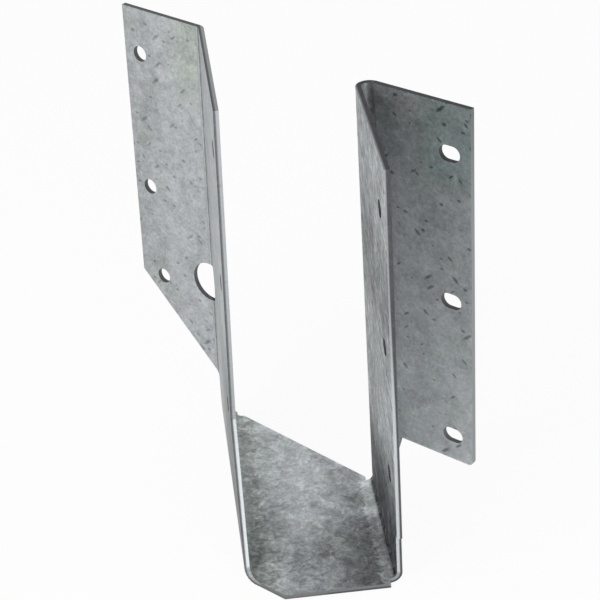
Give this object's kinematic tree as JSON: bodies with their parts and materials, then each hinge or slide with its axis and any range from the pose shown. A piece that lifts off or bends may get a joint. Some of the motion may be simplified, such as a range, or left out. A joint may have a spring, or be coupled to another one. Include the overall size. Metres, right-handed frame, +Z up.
{
  "type": "joist hanger",
  "caption": "Skewed joist hanger folded from galvanised sheet steel: a seat between side walls, with nailing flanges turned 45 degrees to the joist.",
  "frame": {"origin": "level with the top of the seat, where the centre line of the joist meets the plane of the header's face", "axes": "+Z up, +X across the joist to the right, +Y along the joist towards the header; the header's face leans 45 degrees, square to (1, 1, 0)"},
  "size_m": [0.0881, 0.1159, 0.1289],
  "materials": {
    "galvanised_sheet": "dull galvanised zinc with a fine mottled spangle"
  },
  "bodies": {
    "root": {"hanger": "galvanised_sheet"}
  },
  "joints": []
}
